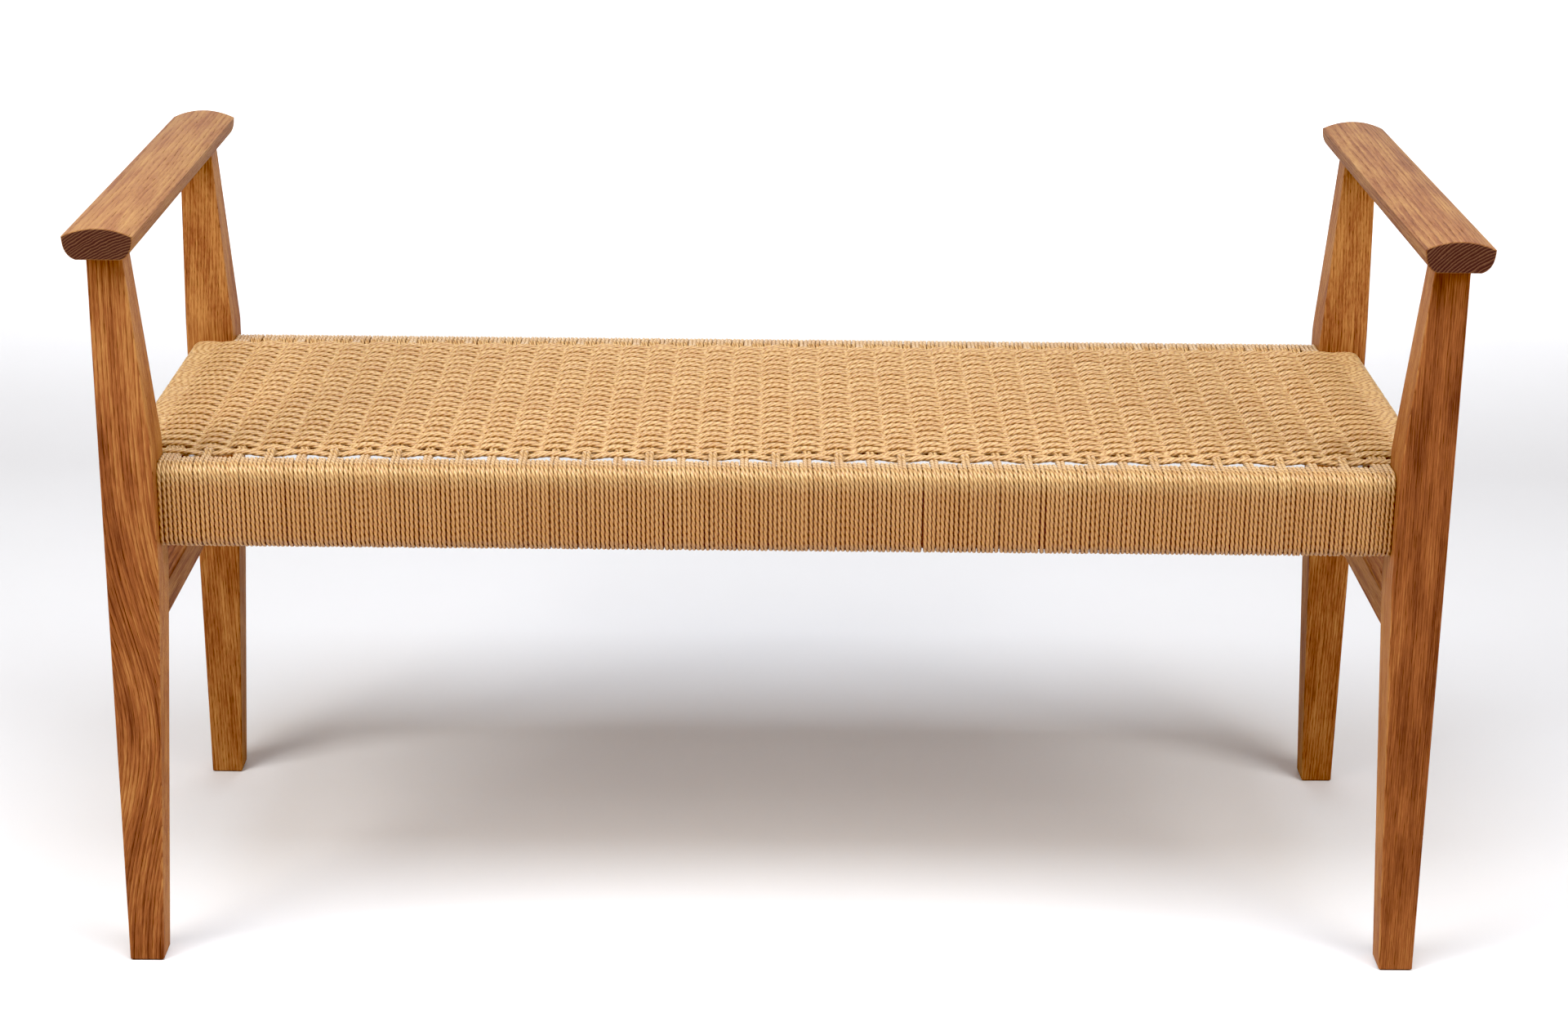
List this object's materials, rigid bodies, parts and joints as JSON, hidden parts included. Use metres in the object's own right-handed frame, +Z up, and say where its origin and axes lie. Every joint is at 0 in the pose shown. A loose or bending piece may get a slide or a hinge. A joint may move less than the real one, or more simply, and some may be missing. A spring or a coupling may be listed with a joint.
{
  "type": "woven seat bench",
  "caption": "Long low bench with a woven paper cord seat, tapered oak legs, rounded oak armrests at both ends and side stretchers",
  "frame": {"origin": "on the floor, under the middle of the bench", "axes": "+X along the bench towards its right end seen from the front, -Y towards the front, +Z up"},
  "size_m": [1.1272, 0.4772, 0.647],
  "materials": {
    "oak": "oiled, satin, golden to reddish brown",
    "paper_cord": "natural, unbleached, matte, twisted from three plies",
    "nail_steel": "bright"
  },
  "bodies": {
    "root": {"front_left_leg": "oak", "front_right_leg": "oak", "rear_left_leg": "oak", "rear_right_leg": "oak", "left_armrest": "oak", "right_armrest": "oak", "front_seat_rail": "oak", "rear_seat_rail": "oak", "left_seat_rail": "oak", "right_seat_rail": "oak", "left_stretcher": "oak", "right_stretcher": "oak", "front_rail_cord": "paper_cord", "rear_rail_cord": "paper_cord", "left_rail_cord": "paper_cord", "right_rail_cord": "paper_cord", "seat_warp": "paper_cord", "seat_weft": "paper_cord", "left_cord_nails": "nail_steel", "right_cord_nails": "nail_steel", "front_cord_nails": "nail_steel", "rear_cord_nails": "nail_steel"}
  },
  "joints": []
}
